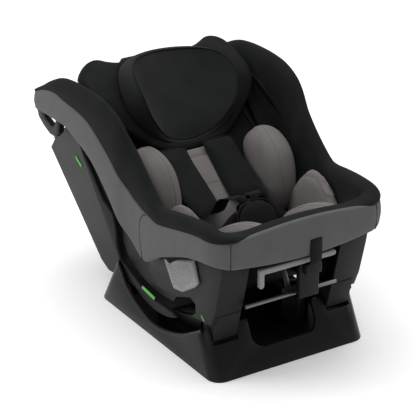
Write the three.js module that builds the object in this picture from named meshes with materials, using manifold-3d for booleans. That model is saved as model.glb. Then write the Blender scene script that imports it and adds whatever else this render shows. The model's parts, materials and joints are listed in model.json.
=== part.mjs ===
// Convertible child car seat on a cradle base: a bucket seat with side wings that rocks
// back in the base, a headrest on two rods, a five-point harness and an infant insert.
// Millimetres, +Z up, the seat faces -Y, +X is the left-hand side of a child in the seat.
// The origin is on the underside of the base, on its centre line.
import * as THREE from "three";
import { mergeVertices } from "three/addons/utils/BufferGeometryUtils.js";
import Module from "manifold-3d";

const wasm = await Module();
wasm.setup();

// ---- driving dimensions ----
const GAP = 0.3; // between pieces that touch
const SEAT_WIDTH = 456; // over the outside of the two wings
const COVER_THICK = 13; // padded outer cover
const SHELL_INSET = 26; // from the cover's outside to the bucket's outside
const SHELL_WALL = 4;
const PANEL_INSET = 50; // from the cover's outside to the outside of the side panels
const PANEL_THICK = 12;
const LOW_BUCKET_INSET = 64; // from the cover's outside to the narrow lower bucket
const BASE_GAP = 4; // between a side panel and the base's side wall
const BASE_WALL = 8;
const BASE_FLOOR = 5;
const BASE_FRONT = -230; // front and rear ends of the base on the ground
const BASE_REAR = 248;
const BASE_LEAN = 0.5; // how far the front wall leans back for each mm of height
const BASE_REAR_LEAN = 0.56;
const BASE_CORNER = 30; // plan radius of the front corners
const BASE_REAR_CORNER = 30;
const FRONT_MOUTH_HALF = 80; // the opening in the base's front wall
const FRONT_MOUTH_FLOOR = 42;
const LEG_OUTER_INSET = 11; // from the side panel's outside to the foot of a leg
const LEG_WIDTH = 55;
const LEG_FLOOR = 76; // height of a leg's foot
const NOTCH_GAP = 2; // around a leg's foot in the base's front wall
const NOTCH_DROP = 6;

const ROCK_Y = 25; // the axis that the seat rocks about
const ROCK_Z = 256;
const RUNNER_R = 202;
const RUNNER_DEPTH = 8.5;
const RUNNER_WIDTH = 18;
const RUNNER_X = 127;
const RAIL_GAP = 1.3;
const BOLT_ANGLE = 28.7; // where the recline bolt meets its rack, in front of straight down
const BOLT_X = 95;
const BOLT_WIDTH = 12;
const BOLT_THICK = 3.4;
const BOLT_GAP = 0.5;
const BOLT_REACH = 213; // the bolt's tip from the rocking axis
const TOOTH_DEPTH = 10;
const TOOTH_STEP = 2; // degrees of recline for each notch
const TOOTH_COUNT = 7;
const RACK_END = 6; // degrees of rack in front of the last notch

const BACK_TILT = 42; // the backrest above the horizontal
const SEAT_TILT = 38; // the seat bottom, rising to the front
const BACK_SHELL_N = 126; // the bucket's back wall, from the origin along its normal
const SEAT_SHELL_M = 80; // the bucket's floor, likewise
const LINER_THICK = 14;
const PAD_THICK = 22; // the insert's back and seat pads
const REAR_N = -112; // the rear face of the back cover
const COVER_SHEET = 5;
const COVER_TOP_T = 560; // top of the back cover, along the backrest
const COVER_BEND_T = 268; // where it turns under the seat
const BACK_TOP = 575; // of the lining, along the backrest
const WALL_TOP_T = 508; // of the bucket's back wall
const BACK_PAD_LENGTH = 240;
const BACK_PAD_WIDTH = 184;
const SEAT_PAD_WIDTH = 200;

const HEAD_BOTTOM = 345; // the headrest along the backrest
const HEAD_TOP = 585;
const HEAD_GAP = 6; // between the headrest and the wings' lining
const HEAD_PAD = 34;
const HEAD_DEPTH = 102;
const HEAD_BOLSTER = 54;
const HEAD_SLOPE = 85; // the bolsters' fronts fall back over this length at the top
const HEAD_CROWN = 2; // how far the pad stands out just above its top
const HEAD_PLATE = 7;
const ROD_R = 5;
const ROD_X = 60;
const ROD_LENGTH = 250;

const STRAP_WIDTH = 38;
const STRAP_THICK = 2.2;
const SHOULDER_PAD_WIDTH = 62;
const SHOULDER_PAD_THICK = 15;
const SHOULDER_X = 46;
const BUCKLE_WIDTH = 54;
const BUCKLE_THICK = 20;
const BUCKLE_HEIGHT = 54;
const BUTTON_WIDTH = 28;
const BUTTON_HEIGHT = 20;
const BUTTON_PROUD = 4.5;
const CROTCH_PAD_WIDTH = 96;
const CROTCH_PAD_THICK = 15;
const CROTCH_PAD_HEIGHT = 92;
const BEAM_FRONT = -244; // the beam between the two front housings
const BEAM_FLOOR = 250;
const BEAM_HEIGHT = 12;
const CROSS_ROD_R = 5;
const CROSS_ROD_Z = 154;
const ADJUSTER_Y = -246; // front face of the harness adjuster
const ADJUSTER_THICK = 16;
const FOOT_LENGTH = 44;
const FOOT_WIDTH = 16;
const FOOT_THICK = 2;

// ---- what follows from them ----
const RAD = Math.PI / 180;
const HALF = SEAT_WIDTH / 2;
const PANEL_X = HALF - PANEL_INSET;
const LEG_X = PANEL_X - LEG_OUTER_INSET;
const BASE_HALF = PANEL_X + BASE_GAP + BASE_WALL;
const LINER_N = BACK_SHELL_N + 5 + GAP;
const BACK_SURFACE = LINER_N + LINER_THICK;
const LINER_M = SEAT_SHELL_M + SHELL_WALL + GAP;
const SEAT_SURFACE = LINER_M + LINER_THICK;
const LINING_X = HALF - 40; // inner face of the wings' lining at mid height
const BIGHT_T = 78; // where the back and seat linings meet, along the backrest

// Side lines of the cover, as [y, z] from the front to the rear end of a wing.
const HEM = [[-270, 270], [-222, 273], [-154, 262], [-71, 231], [-40, 214], [3, 192],
  [42, 215], [86, 247], [124, 282], [181, 332], [219, 354], [269, 371], [314, 384],
  [403, 380], [457, 374]];
const SEAM = [[-270, 333], [-245, 328], [-192, 323], [-143, 316], [-60, 300], [-41, 300],
  [30, 318], [70, 344], [114, 375], [152, 400], [209, 430], [259, 440], [320, 444],
  [362, 447], [420, 434], [457, 418]];
const RIM = [[-270, 339], [-230, 344], [-200, 346], [-150, 343], [-100, 337], [-60, 331],
  [-30, 342], [0, 363], [36, 396], [60, 424], [85, 450], [114, 470], [152, 485],
  [196, 492], [245, 494], [296, 492], [343, 484], [392, 463], [430, 438], [457, 424]];
// How far the cover's outside stands in from the widest place, as [y, inset].
const NARROWING = [[-212, 22], [-150, 16], [-100, 11], [-60, 9], [40, 7], [85, 0],
  [345, 0], [457, 6]];
const FRONT_CORNER = 58;
const FRONT_Y = -270;
const WING_END = 455;
const SIDE_ROWS = [WING_END, 430, 392, 343, 296, 245, 196, 152, 114, 85, 60, 36, 3, -35, -60,
  -100, -150];
const SEAM_GAP = 0.5; // half the gap between the cover's two fabrics

function at(table, y) {
  const last = table.length - 1;
  if (y <= table[0][0]) return table[0][1];
  if (y >= table[last][0]) return table[last][1];
  const i = table.findIndex((p) => p[0] > y);
  const [y0, z0] = table[i - 1];
  const [y1, z1] = table[i];
  return z0 + ((z1 - z0) * (y - y0)) / (y1 - y0);
}

// ---- geometry helpers ----
const T = (t, n) => [
  t * Math.cos(BACK_TILT * RAD) - n * Math.sin(BACK_TILT * RAD),
  t * Math.sin(BACK_TILT * RAD) + n * Math.cos(BACK_TILT * RAD),
];
const onArc = (r, degrees) => [
  ROCK_Y + r * Math.sin(degrees * RAD),
  ROCK_Z - r * Math.cos(degrees * RAD),
];
function arc(r, from, to, steps) {
  const points = [];
  for (let i = 0; i <= steps; i++) points.push(onArc(r, from + ((to - from) * i) / steps));
  return points;
}
function shapeOf(points) {
  return new THREE.Shape(points.map(([a, b]) => new THREE.Vector2(a, b)));
}
function extruded(points, depth, holes = []) {
  const shape = Array.isArray(points) ? shapeOf(points) : points;
  shape.holes.push(...holes.map(shapeOf));
  return new THREE.ExtrudeGeometry(shape, { depth, bevelEnabled: false, curveSegments: 6 });
}
// An outline in y and z, extruded from x0 to x1.
function extrudeX(points, x0, x1, holes = []) {
  const g = extruded(points, x1 - x0, holes);
  const turn = new THREE.Matrix4().makeBasis(
    new THREE.Vector3(0, 1, 0), new THREE.Vector3(0, 0, 1), new THREE.Vector3(1, 0, 0));
  return g.applyMatrix4(turn).translate(x0, 0, 0);
}
// An outline in x and z, extruded from y0 to y1.
function extrudeY(points, y0, y1, holes = []) {
  return extruded(points, y1 - y0, holes).rotateX(Math.PI / 2).translate(0, y1, 0);
}
function extrudeZ(points, z0, z1, holes = []) {
  return extruded(points, z1 - z0, holes).translate(0, 0, z0);
}
function box(x0, x1, y0, y1, z0, z1) {
  return new THREE.BoxGeometry(x1 - x0, y1 - y0, z1 - z0)
    .translate((x0 + x1) / 2, (y0 + y1) / 2, (z0 + z1) / 2);
}
function roundRect(x0, x1, y0, y1, r) {
  const s = new THREE.Shape();
  s.moveTo(x0 + r, y0);
  s.lineTo(x1 - r, y0);
  s.absarc(x1 - r, y0 + r, r, -Math.PI / 2, 0, false);
  s.lineTo(x1, y1 - r);
  s.absarc(x1 - r, y1 - r, r, 0, Math.PI / 2, false);
  s.lineTo(x0 + r, y1);
  s.absarc(x0 + r, y1 - r, r, Math.PI / 2, Math.PI, false);
  s.lineTo(x0, y0 + r);
  s.absarc(x0 + r, y0 + r, r, Math.PI, 1.5 * Math.PI, false);
  return s;
}
function oval(width, height, power = 2.4, count = 18) {
  const points = [];
  for (let i = 0; i < count; i++) {
    const a = (2 * Math.PI * i) / count;
    const c = Math.cos(a);
    const s = Math.sin(a);
    const x = Math.sign(c) * Math.abs(c) ** (2 / power) * (width / 2);
    const y = Math.sign(s) * Math.abs(s) ** (2 / power) * (height / 2);
    points.push([x, y]);
  }
  return points;
}
// A closed solid through rings of points, each ring with the same number of points.
function loft(rings) {
  const count = rings[0].length;
  const position = rings.flat().flatMap((p) => [p.x, p.y, p.z]);
  const index = [];
  for (let r = 0; r + 1 < rings.length; r++)
    for (let i = 0; i < count; i++) {
      const j = (i + 1) % count;
      const a = r * count + i;
      const b = r * count + j;
      index.push(a, b, b + count, a, b + count, a + count);
    }
  const cap = (ring, offset, flip) => {
    const [o, p, q] = [ring[0], ring[Math.floor(count / 3)], ring[Math.floor((2 * count) / 3)]];
    const normal = new THREE.Vector3().crossVectors(p.clone().sub(o), q.clone().sub(o));
    const u = p.clone().sub(o).normalize();
    const v = new THREE.Vector3().crossVectors(normal.normalize(), u);
    const flat = ring.map((w) => new THREE.Vector2(w.clone().sub(o).dot(u), w.clone().sub(o).dot(v)));
    const clockwise = THREE.ShapeUtils.isClockWise(flat);
    for (const [a, b, c] of THREE.ShapeUtils.triangulateShape(flat, [])) {
      const turned = clockwise !== flip;
      index.push(offset + a, offset + (turned ? b : c), offset + (turned ? c : b));
    }
  };
  cap(rings[0], 0, false);
  cap(rings[rings.length - 1], (rings.length - 1) * count, true);
  const g = new THREE.BufferGeometry();
  g.setAttribute("position", new THREE.Float32BufferAttribute(position, 3));
  g.setIndex(index);
  return outward(g);
}
function toManifold(geometry) {
  const plain = geometry.clone();
  for (const name of Object.keys(plain.attributes))
    if (name !== "position") plain.deleteAttribute(name);
  const merged = mergeVertices(plain, 1e-4);
  return new wasm.Manifold(new wasm.Mesh({
    numProp: 3,
    vertProperties: new Float32Array(merged.attributes.position.array),
    triVerts: new Uint32Array(merged.index.array),
  }));
}
function fromManifold(solid) {
  const mesh = solid.getMesh();
  const g = new THREE.BufferGeometry();
  g.setAttribute("position", new THREE.BufferAttribute(new Float32Array(mesh.vertProperties), 3));
  g.setIndex(new THREE.BufferAttribute(new Uint32Array(mesh.triVerts), 1));
  return g;
}
// The same geometry with its faces pointing out.
function outward(geometry) {
  if (toManifold(geometry).volume() > 0) return geometry;
  const index = geometry.index.array;
  for (let i = 0; i < index.length; i += 3) [index[i + 1], index[i + 2]] = [index[i + 2], index[i + 1]];
  return geometry;
}
function combine(first, operation, others) {
  let solid = toManifold(first);
  for (const other of others) solid = solid[operation](toManifold(other));
  return fromManifold(solid);
}
const cut = (first, ...others) => combine(first, "subtract", others);
const join = (first, ...others) => combine(first, "add", others);
const common = (first, ...others) => combine(first, "intersect", others);
function mirrored(geometry) {
  const g = geometry.clone();
  g.applyMatrix4(new THREE.Matrix4().makeScale(-1, 1, 1));
  const merged = g.index ? g : mergeVertices(g);
  return outward(merged);
}

// ---- materials and placing ----
const FINISH = {
  base_plastic: [0x1f2022, 0.42, 0],
  shell_plastic: [0x34363a, 0.5, 0],
  dark_plastic: [0x17181a, 0.5, 0],
  light_plastic: [0xa2a3a5, 0.45, 0],
  green_plastic: [0x2f9a2a, 0.4, 0],
  red_plastic: [0xb3201c, 0.4, 0],
  steel: [0xb8babd, 0.3, 0.9],
  rubber: [0x111112, 0.9, 0],
  black_fabric: [0x151617, 0.95, 0],
  grey_fabric: [0x5f6063, 0.95, 0],
  insert_fabric: [0x6a6565, 0.95, 0],
  webbing: [0x101011, 0.85, 0],
};
const part = new THREE.Group();
const backFrame = new THREE.Group(); // local y runs up the backrest, local z out of it
backFrame.rotation.x = BACK_TILT * RAD;
const seatFrame = new THREE.Group(); // local y runs back and down the seat, local z out of it
seatFrame.rotation.x = -SEAT_TILT * RAD;
part.add(backFrame, seatFrame);

function place(name, geometry, finish, parent = part) {
  const [color, roughness, metalness] = FINISH[finish];
  const material = new THREE.MeshStandardMaterial({ color, roughness, metalness });
  const mesh = new THREE.Mesh(geometry, material);
  mesh.name = name;
  parent.add(mesh);
  return mesh;
}
// A left and a right piece from one geometry, modelled on the +X side.
function placePair(name, geometry, finish, parent = part) {
  place(`${name}_left`, geometry, finish, parent);
  place(`${name}_right`, mirrored(geometry), finish, parent);
}

// ---- base ----
function baseRing(z, inset) {
  const half = BASE_HALF - inset - z * 0.02;
  const front = BASE_FRONT + z * BASE_LEAN + inset * 1.15;
  const rear = BASE_REAR - z * BASE_REAR_LEAN - inset * 1.15;
  const corner = (cx, cy, r, from) => {
    const points = [];
    for (let i = 0; i <= 5; i++) {
      const a = (from + 18 * i) * RAD;
      points.push(new THREE.Vector3(cx + r * Math.cos(a), cy + r * Math.sin(a), z));
    }
    return points;
  };
  const rf = BASE_CORNER - inset;
  const rr = BASE_REAR_CORNER - inset;
  return [
    ...corner(half - rf, front + rf, rf, -90), ...corner(half - rr, rear - rr, rr, 0),
    ...corner(-half + rr, rear - rr, rr, 90), ...corner(-half + rf, front + rf, rf, 180),
  ];
}
const WALL_TOP = [[-300, 104], [-180, 102], [-162, 92], [-99, 56], [-50, 38], [0, 28.5],
  [45, 29], [85, 42], [133, 72], [166, 112], [176, 119], [300, 119]];
function makeBase() {
  const height = 124;
  const tub = loft([baseRing(0, 0), baseRing(height, 0)]);
  const hollow = loft([baseRing(BASE_FLOOR, BASE_WALL), baseRing(height + 6, BASE_WALL)]);
  const above = extrudeX([...WALL_TOP, [300, 400], [-300, 400]], -HALF, HALF);
  const legInner = LEG_X - LEG_WIDTH;
  const notch = box(legInner - NOTCH_GAP, LEG_X + NOTCH_GAP, -260, -120,
    LEG_FLOOR - NOTCH_DROP, 200);
  const mouth = extrudeY(roundRect(-FRONT_MOUTH_HALF, FRONT_MOUTH_HALF, FRONT_MOUTH_FLOOR,
    FRONT_MOUTH_FLOOR + 150, 26), -260, -120);
  const rearLow = box(-(PANEL_X + 2), PANEL_X + 2, 120, 300, 30, 200);
  const feet = footPlaces().map(([x, y]) => box(
    x - FOOT_WIDTH / 2 - GAP, x + FOOT_WIDTH / 2 + GAP,
    y - FOOT_LENGTH / 2 - GAP, y + FOOT_LENGTH / 2 + GAP, -1, FOOT_THICK + GAP));
  place("base_tray", cut(tub, hollow, above, notch, mirrored(notch), mouth, rearLow, ...feet),
    "base_plastic");
}
function footPlaces() {
  const x = BASE_HALF - 40;
  return [[x, BASE_FRONT + 60], [-x, BASE_FRONT + 60], [x, BASE_REAR - 60], [-x, BASE_REAR - 60]];
}
function makeFeet() {
  footPlaces().forEach(([x, y], i) => {
    const foot = place(`foot_pad_${i + 1}`,
      new THREE.BoxGeometry(FOOT_WIDTH, FOOT_LENGTH, FOOT_THICK), "rubber");
    foot.position.set(x, y, FOOT_THICK / 2 + 0.05);
  });
}
function makeRails() {
  const top = arc(RUNNER_R + RAIL_GAP, -35, 17, 13);
  const floor = BASE_FLOOR + GAP;
  const web = [...top, [top[top.length - 1][0], floor], [top[0][0], floor]];
  const x0 = RUNNER_X - RUNNER_WIDTH / 2;
  placePair("guide_rail", extrudeX(web, x0, x0 + RUNNER_WIDTH), "base_plastic");
}
// The rack: an arc with a slot for the bolt at every step of recline.
function makeRack() {
  const tip = BOLT_REACH + BOLT_GAP;
  const crest = tip - TOOTH_DEPTH;
  const first = -BOLT_ANGLE;
  const last = first - TOOTH_STEP * (TOOTH_COUNT - 1);
  const outline = [];
  const wide = (BOLT_THICK / 2 + BOLT_GAP) / tip / RAD;
  outline.push(onArc(crest, last - RACK_END));
  for (let i = TOOTH_COUNT - 1; i >= 0; i--) {
    const middle = first - TOOTH_STEP * i;
    outline.push(onArc(crest, middle - wide), onArc(tip, middle - wide));
    outline.push(onArc(tip, middle + wide), onArc(crest, middle + wide));
  }
  outline.push(onArc(crest, first + 4));
  const floor = BASE_FLOOR + GAP;
  outline.push([onArc(crest, first + 4)[0], floor], [onArc(crest, last - RACK_END)[0], floor]);
  const half = BOLT_WIDTH / 2 + 2;
  place("recline_rack", extrudeX(outline, BOLT_X - half, BOLT_X + half), "steel");
}

// ---- seat structure ----
function planHalf(y) {
  return HALF - at(NARROWING, y);
}
// Stations round the cover's outside from the rear of the +X wing to the other one: each
// has a place, a direction pointing in, and the y at which the side lines are read.
function coverStations() {
  const side = [];
  for (const y of SIDE_ROWS) side.push([planHalf(y), y, 1, 0, y]);
  const cx = planHalf(-212) - FRONT_CORNER;
  const cy = FRONT_Y + FRONT_CORNER;
  for (let i = 0; i <= 4; i++) {
    const a = (i * 22.5) * RAD;
    const [nx, ny] = [Math.cos(a), -Math.sin(a)];
    side.push([cx + FRONT_CORNER * nx, cy + FRONT_CORNER * ny, nx, ny, cy + FRONT_CORNER * ny]);
  }
  for (const share of [0.66, 0.33]) side.push([cx * share, FRONT_Y - 7 * (1 - share), 0, -1, FRONT_Y]);
  const other = side.map(([x, y, nx, ny, v]) => [-x, y, -nx, ny, v]).reverse();
  return [...side, [0, FRONT_Y - 8, 0, -1, FRONT_Y], ...other];
}
// The front panel's edges rise or fall towards the middle.
function frontShare([x, , , ny]) {
  return ny < -0.99 ? Math.cos((Math.PI / 2) * Math.min(1, Math.abs(x) / 160)) : 0;
}
function coverLines(station) {
  const y = station[4];
  const share = frontShare(station);
  const seam = at(SEAM, y) + 13 * share;
  return { hem: at(HEM, y) - 6 * share, seam, rim: Math.max(at(RIM, y), seam + 6) + 10 * share };
}
function ring(station, section) {
  const [x, y, nx, ny] = station;
  return section.map(([depth, z]) => new THREE.Vector3(x - nx * depth, y - ny * depth, z));
}
function makeCover() {
  const band = coverStations().map((s) => {
    const { hem, seam } = coverLines(s);
    const top = seam - SEAM_GAP;
    return ring(s, [[5, hem], [0, hem + 12], [0, top], [COVER_THICK, top],
      [COVER_THICK, hem + 10], [COVER_THICK - 3, hem]]);
  });
  place("cover_band", loft(band), "grey_fabric");
  const rim = coverStations().map((s) => {
    const { seam, rim: top } = coverLines(s);
    const low = seam + SEAM_GAP;
    const shoulder = low + 0.55 * (top - low);
    const inside = Math.max(top - 15.7, low + 0.6);
    const foot = Math.min(top - 42, low - 1);
    const out = SHELL_INSET - GAP;
    const inn = SHELL_INSET + SHELL_WALL + GAP;
    return ring(s, [[0, low], [0, shoulder], [7, top - 1], [16, top], [28, top - 1],
      [39, Math.max(top - 12, low + 1)], [40, foot], [inn, foot], [inn, inside], [out, inside],
      [out, low]]);
  });
  place("cover_rim", loft(rim), "black_fabric");
}
function planOutline(inset) {
  const points = coverStations().map(([x, y, nx, ny]) => [x - nx * inset, y - ny * inset]);
  return points.reverse();
}
// The bucket: wide above the ledge under the cover, narrow below it, open to the front.
function makeBucket() {
  const rows = [-262, -212, ...SIDE_ROWS.filter((y) => y < 300).reverse()];
  const topLine = rows.map((y) => [y, Math.min(at(RIM, y) - 16.5, at(SEAM, y) + 12)]);
  const backEnd = T(WALL_TOP_T, BACK_SHELL_N);
  const ledge = [[372, 402], [300, 392], [219, 366], [181, 344], [124, 294], [86, 259], [42, 227],
    [3, 205], [-71, 243], [-154, 275], [-262, 288]];
  const wide = [...topLine, [backEnd[0], Math.min(backEnd[1], at(RIM, backEnd[0]) - 18)], ...ledge];
  const raised = ledge.map(([y, z]) => [y, z + SHELL_WALL]);
  const wideHollow = [[-300, 700], [500, 700], [500, raised[0][1]], ...raised.slice(0, -1),
    [-300, raised[raised.length - 1][1]]].reverse();
  const wall = [BACK_SHELL_N + 5, SEAT_SHELL_M + SHELL_WALL];
  const deep = bucketProfile(BACK_SHELL_N, SEAT_SHELL_M);
  const deepHollow = bucketProfile(...wall);
  const low = HALF - LOW_BUCKET_INSET;
  const outer = join(common(extrudeX(wide, -HALF, HALF), extrudeZ(planOutline(SHELL_INSET), 0, 600)),
    common(extrudeX(deep, -low, low), extrudeZ(planOutline(SHELL_INSET), 0, 600)));
  const sides = HALF - SHELL_INSET - SHELL_WALL;
  const behind = extrudeX(behindProfile(BACK_SHELL_N), -sides, sides);
  const inner = join(common(extrudeX(wideHollow, -HALF, HALF),
    extrudeZ(planOutline(SHELL_INSET + SHELL_WALL), 0, 800), extrudeX(frontOf(wall[0]), -HALF, HALF)),
    extrudeX(deepHollow, -low + SHELL_WALL, low - SHELL_WALL));
  place("bucket_shell", cut(outer, inner, behind), "dark_plastic");
}
// The region in front of the plane n and above the plane m, up to the top of the bucket.
function bucketProfile(n, m) {
  const s = [Math.sin(BACK_TILT * RAD), Math.cos(BACK_TILT * RAD)];
  const q = [Math.sin(SEAT_TILT * RAD), Math.cos(SEAT_TILT * RAD)];
  const det = -s[0] * q[1] - s[1] * q[0];
  const bight = [(n * q[1] - s[1] * m) / det, (-s[0] * m - q[0] * n) / det];
  const front = [-262, (m + q[0] * 262) / q[1]];
  const back = T(WALL_TOP_T, n);
  return [bight, back, [back[0] - 60, back[1]], [front[0], front[1] + 4], front];
}
function behindProfile(n) {
  return [T(BIGHT_T + 20, n), T(BIGHT_T + 20, -200), T(700, -200), T(700, n)];
}
function frontOf(n) {
  return [T(0, n), T(900, n), T(900, 900), T(0, 900)];
}
// The side panel: the plate beside the back, the core of the wing's rear end above it and
// the rib that sweeps forward over the rocker.
function makeSidePanels() {
  const rib = [[-40, 80], [29, 78], [82, 84], [129, 99], [168, 112], [185, 140], [190, 180],
    [201, 209], [245, 229], [290, 275], [326, 306], [342, 330], [344, 386], [310, 440]];
  const rear = [[396, 442], [440, 412], [447, 394], [400, 388], [398, 350], [428, 322],
    [452, 303], [478, 268], [387, 191], [256, 79], [225, 66], [150, 72]];
  const outline = [...rib, ...rear, ...arc(RUNNER_R - 1, 25, -18, 7), [-62, 76]];
  placePair("side_panel", extrudeX(outline.reverse(), PANEL_X - PANEL_THICK, PANEL_X), "shell_plastic");
}
// The front housings hold the bucket up and end in the legs that stand in the base's notches.
function makeHousings() {
  const top = [[52, 196], [3, 186], [-40, 207], [-71, 224], [-154, 256], [-222, 266]];
  const front = [[-238, 262], [-232, 232], [-212, 155], [-196, 118]];
  const low = [[-120, 108], [-138, 122], [-136, 142], [-117, 149], [-66, 128], [15, 118], [47, 139]];
  const outline = [...top, ...front, [-150, 112], ...low];
  const inner = LEG_X - LEG_WIDTH;
  const upper = extrudeX(outline, inner, PANEL_X);
  const foot = extrudeX([[-146, 124], [-206, 138], [-189, LEG_FLOOR], [-152, LEG_FLOOR]], inner, LEG_X);
  const wall = 4;
  const room = [[30, 300], [-8, 152], [-60, 145], [-112, 166], [-146, 160], [-150, 130], [-192, 130],
    [-207, 158], [-226, 232], [-231, 300]];
  const hollow = extrudeX(room, inner - 10, PANEL_X - wall);
  const footRoom = extrudeX([[-156, 140], [-196, 140], [-186, LEG_FLOOR + wall],
    [-158, LEG_FLOOR + wall]], inner + wall, LEG_X - wall);
  const lowHalf = HALF - LOW_BUCKET_INSET + GAP;
  const bucket = extrudeX(bucketProfile(BACK_SHELL_N - GAP, SEAT_SHELL_M - GAP), -lowHalf, lowHalf);
  placePair("front_housing", cut(join(upper, foot), hollow, footRoom, bucket), "shell_plastic");
}
function makeBackCover() {
  const face = RUNNER_R - RUNNER_DEPTH - GAP;
  const outer = [T(COVER_TOP_T, REAR_N), T(COVER_BEND_T, REAR_N), [232, 70], [150, 74],
    ...arc(face, 30, -12, 7)];
  const inner = [...arc(face - COVER_SHEET, -12, 30, 7), [150, 79.5], [230, 75.5],
    T(COVER_BEND_T - 6, REAR_N + COVER_SHEET), T(COVER_TOP_T, REAR_N + COVER_SHEET)];
  const half = PANEL_X - PANEL_THICK - GAP;
  const outline = [...outer, ...inner];
  place("back_cover", extrudeX(outline, -half, half), "shell_plastic");
}
function makeRunners() {
  const outline = [...arc(RUNNER_R, -37, 29, 14), ...arc(RUNNER_R - RUNNER_DEPTH, 29, -37, 14)];
  const x0 = RUNNER_X - RUNNER_WIDTH / 2;
  placePair("rocker_runner", extrudeX(outline, x0, x0 + RUNNER_WIDTH), "dark_plastic");
}
function makeFront() {
  const inner = LEG_X - LEG_WIDTH - GAP;
  place("front_beam", box(-inner, inner, BEAM_FRONT, BEAM_FRONT + 30, BEAM_FLOOR, BEAM_FLOOR + BEAM_HEIGHT),
    "dark_plastic");
  const rod = new THREE.CylinderGeometry(CROSS_ROD_R, CROSS_ROD_R, 2 * inner, 14).rotateZ(Math.PI / 2);
  place("cross_rod", rod, "steel").position.set(0, -220, CROSS_ROD_Z);
}
function makeHandle() {
  const bar = extrudeY(roundRect(-102, 84, 236, 249, 6), -258, -247);
  const arm = extrudeY(roundRect(-102, -90, 206, 249, 5.5), -258, -247);
  place("recline_handle", join(bar, arm), "light_plastic");
}
function makeBolt() {
  const frame = new THREE.Group();
  frame.position.set(BOLT_X, ROCK_Y, ROCK_Z);
  frame.rotation.x = -BOLT_ANGLE * RAD;
  part.add(frame);
  place("recline_bolt", box(-BOLT_WIDTH / 2, BOLT_WIDTH / 2, -BOLT_THICK / 2, BOLT_THICK / 2,
    -BOLT_REACH, -158), "steel", frame);
}
function makeVents() {
  const outline = [[-22, 199], [-138, 245], [-156, 198], [-142, 183], [-95, 152], [-60, 146]];
  const inset = (k) => outline.map(([y, z]) => [y + (-95 - y) * k, z + (190 - z) * k]);
  const rings = [[PANEL_X + GAP, 0], [PANEL_X + 5, 0], [PANEL_X + 8, 0.1]].map(([x, k]) =>
    inset(k).map(([y, z]) => new THREE.Vector3(x, y, z)));
  placePair("vent_grille", loft(rings), "light_plastic");
}
function makeBeltGuides() {
  const outline = [[464, 380], [484, 366], [476, 348], [452, 334], [424, 324], [400, 326], [384, 340],
    [376, 372], [384, 390]];
  const hole = [[452, 366], [440, 354], [418, 347], [402, 352], [396, 368], [420, 377], [446, 376]];
  const x0 = HALF - 36;
  placePair("belt_guide", extrudeX(outline.reverse(), x0, x0 + 14, [hole]), "green_plastic");
}
function makePathMarks() {
  const mark = [[78, 86], [26, 80], [22, 88], [74, 94]];
  placePair("belt_path_mark", extrudeX(mark, PANEL_X + GAP, PANEL_X + 1.8), "green_plastic");
}

// ---- upholstery ----
function makeLiners() {
  const low = HALF - LOW_BUCKET_INSET - SHELL_WALL - GAP;
  place("back_lining", box(-low, low, BIGHT_T + 36, BACK_TOP - 28, LINER_N, BACK_SURFACE),
    "black_fabric", backFrame);
  place("seat_lining", box(-low, low, -350, -158, LINER_M, SEAT_SURFACE), "black_fabric", seatFrame);
  const rows = [-200, ...SIDE_ROWS.filter((y) => y < 290).reverse()];
  const ledge = [[260, 396], [219, 377], [181, 355], [124, 305], [86, 270], [42, 238], [3, 217],
    [-71, 255], [-154, 286], [-200, 290]];
  const rimFoot = rows.map((y) => [y, Math.min(at(RIM, y) - 42.5, at(SEAM, y) - 1.5)]);
  const outline = [...rimFoot.filter(([y, z]) => z > at([...ledge].reverse(), y) + 6), ...ledge];
  const stations = coverStations();
  const x1 = HALF - SHELL_INSET - SHELL_WALL - GAP;
  const plan = [];
  for (const inset of [SHELL_INSET + SHELL_WALL + GAP, SHELL_INSET + SHELL_WALL + 9]) {
    const line = stations.filter(([x, y]) => x > 100 && y > -205).map(([x, y, nx, ny]) =>
      [x - nx * inset, y - ny * inset]);
    plan.push(...(inset < SHELL_INSET + SHELL_WALL + 5 ? line.reverse() : line));
  }
  const slab = common(extrudeX(outline.reverse(), x1 - 60, x1 + 20), extrudeZ(plan, 100, 600),
    extrudeX(frontOf(BACK_SHELL_N + 5 + GAP), 0, HALF));
  placePair("side_lining", slab, "black_fabric");
}
function cushion(width, height, thick) {
  const rim = oval(width, height).map(([a, b]) => [a, b]);
  const rings = [[-0.5, 0.82], [-0.2, 1], [0.2, 1], [0.5, 0.82]].map(([z, k]) =>
    rim.map(([a, b]) => new THREE.Vector3(a * k, b * k, z * thick)));
  return loft(rings);
}
function makeInsert() {
  place("back_pad", box(-BACK_PAD_WIDTH / 2, BACK_PAD_WIDTH / 2, BIGHT_T + 52,
    BIGHT_T + 52 + BACK_PAD_LENGTH - 30, BACK_SURFACE + GAP, BACK_SURFACE + PAD_THICK),
    "insert_fabric", backFrame);
  const slot = box(-24, 24, -244, -200, SEAT_SURFACE - 5, SEAT_SURFACE + PAD_THICK + 5);
  place("seat_pad", cut(box(-SEAT_PAD_WIDTH / 2, SEAT_PAD_WIDTH / 2, -368, -190, SEAT_SURFACE + GAP,
    SEAT_SURFACE + PAD_THICK), slot), "insert_fabric", seatFrame);
  const ear = cushion(104, 190, 24).rotateY(-40 * RAD).translate(LINING_X - 50, 262, BACK_SURFACE + 54);
  placePair("ear_cushion", ear, "insert_fabric", backFrame);
  const hip = cushion(96, 124, 24).rotateY(-48 * RAD).translate(LINING_X - 50, -272, SEAT_SURFACE + 54);
  placePair("hip_cushion", hip, "insert_fabric", seatFrame);
}

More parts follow.
